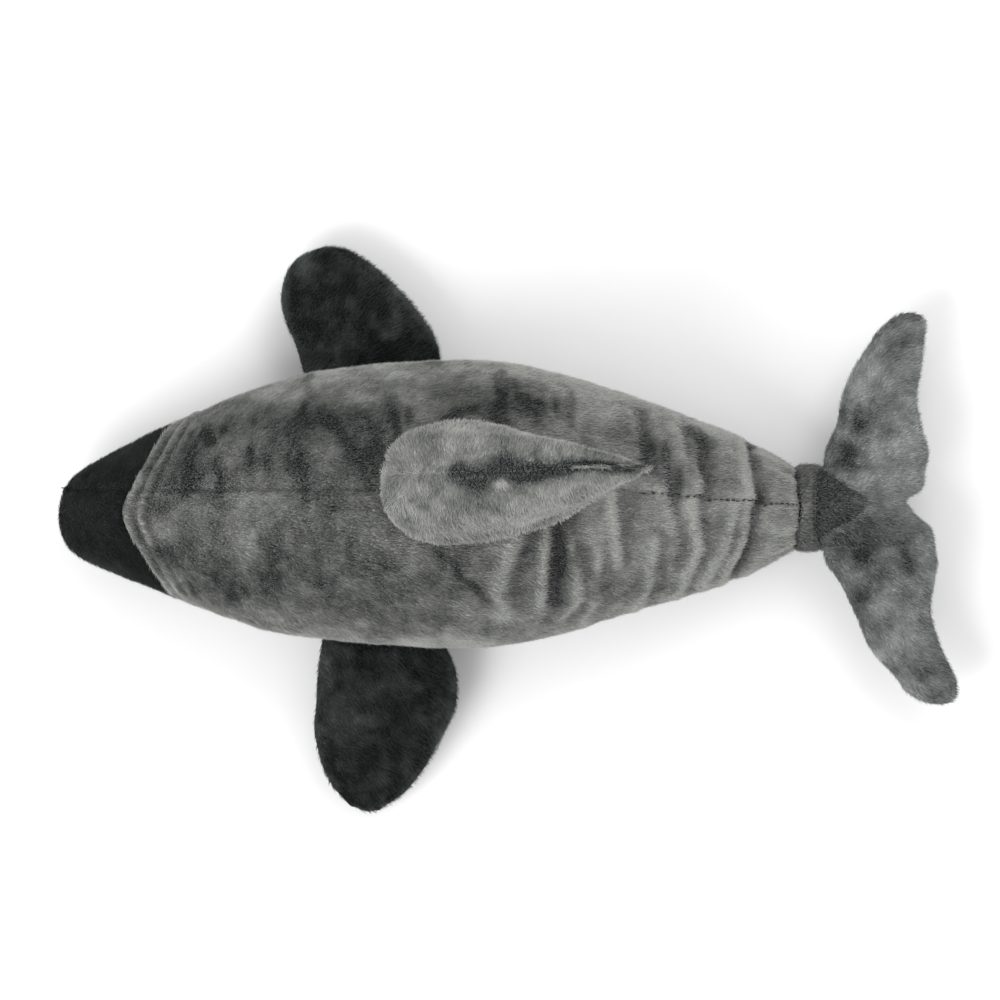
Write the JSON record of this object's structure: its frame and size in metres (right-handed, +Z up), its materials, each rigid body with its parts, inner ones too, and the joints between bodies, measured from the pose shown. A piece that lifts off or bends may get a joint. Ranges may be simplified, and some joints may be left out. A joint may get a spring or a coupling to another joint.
{
  "type": "plush shark",
  "caption": "Stuffed plush shark lying on its belly, with a padded back fin, two paddle-shaped side fins and a flat two-lobed tail fluke",
  "frame": {"origin": "middle of the flat patch of belly that the toy rests on, on the floor plane under the body's widest place", "axes": "-X towards the nose, +X towards the tail, +Z up, +Y towards the toy's own right side"},
  "size_m": [0.7195, 0.4533, 0.276],
  "materials": {
    "grey_plush": "short soft pile with a nap",
    "belly_plush": "short soft pile with a nap",
    "charcoal_plush": "short soft pile with a nap",
    "light_plush": "short soft pile with a nap",
    "dark_plush": "short soft pile with a nap",
    "fluke_plush": "short soft pile with a nap, crushed dark in patches",
    "fibre_filling": "loose fibre",
    "thread": "twisted thread",
    "label_tape": "woven satin tape",
    "eye_plastic": "gloss",
    "washer_plastic": "moulded"
  },
  "bodies": {
    "torso": {"right_back_panel": "grey_plush", "left_back_panel": "grey_plush", "belly_panel": "belly_plush", "snout_top_panel": "charcoal_plush", "snout_lower_panel": "charcoal_plush", "body_filling": "fibre_filling", "back_seam_stitches": "thread", "mouth_stitches": "thread", "closing_stitches": "thread", "care_label": "label_tape", "right_eye": "eye_plastic", "left_eye": "eye_plastic", "right_eye_washer": "washer_plastic", "left_eye_washer": "washer_plastic"},
    "dorsal_fin": {"dorsal_right_panel": "light_plush", "dorsal_left_panel": "light_plush", "dorsal_filling": "fibre_filling"},
    "right_pectoral": {"right_pectoral_top": "dark_plush", "right_pectoral_bottom": "dark_plush", "right_pectoral_filling": "fibre_filling"},
    "left_pectoral": {"left_pectoral_top": "dark_plush", "left_pectoral_bottom": "dark_plush", "left_pectoral_filling": "fibre_filling"},
    "tail_cuff": {"tail_cuff_band": "grey_plush", "cuff_filling": "fibre_filling"},
    "fluke": {"right_fluke_top": "fluke_plush", "left_fluke_top": "fluke_plush", "fluke_bottom": "fluke_plush", "fluke_gusset": "charcoal_plush", "fluke_filling": "fibre_filling"}
  },
  "joints": [
    {"name": "dorsal_lean", "type": "hinge", "parent": "torso", "child": "dorsal_fin", "pos_m": [0.03, 0.013, 0.1905], "axis": [0.996, 0, -0.0896], "range_deg": [-25, 20], "stiffness_Nm_per_rad": 0.3},
    {"name": "right_pectoral_flap", "type": "hinge", "parent": "torso", "child": "right_pectoral", "pos_m": [-0.057, 0.112, 0.048], "axis": [0.995, 0.0995, 0], "range_deg": [-8, 60], "stiffness_Nm_per_rad": 0.2},
    {"name": "left_pectoral_flap", "type": "hinge", "parent": "torso", "child": "left_pectoral", "pos_m": [-0.044, -0.112, 0.048], "axis": [-0.9976, 0.0698, 0], "range_deg": [-8, 60], "stiffness_Nm_per_rad": 0.2},
    {"name": "tail_yaw", "type": "hinge", "parent": "torso", "child": "tail_cuff", "pos_m": [0.2895, -0.003, 0.056], "axis": [0, 0, 1], "range_deg": [-18, 18], "stiffness_Nm_per_rad": 0.6},
    {"name": "fluke_pitch", "type": "hinge", "parent": "tail_cuff", "child": "fluke", "pos_m": [0.307, -0.003, 0.056], "axis": [0, 1, 0], "range_deg": [-32, 32], "stiffness_Nm_per_rad": 0.5}
  ]
}
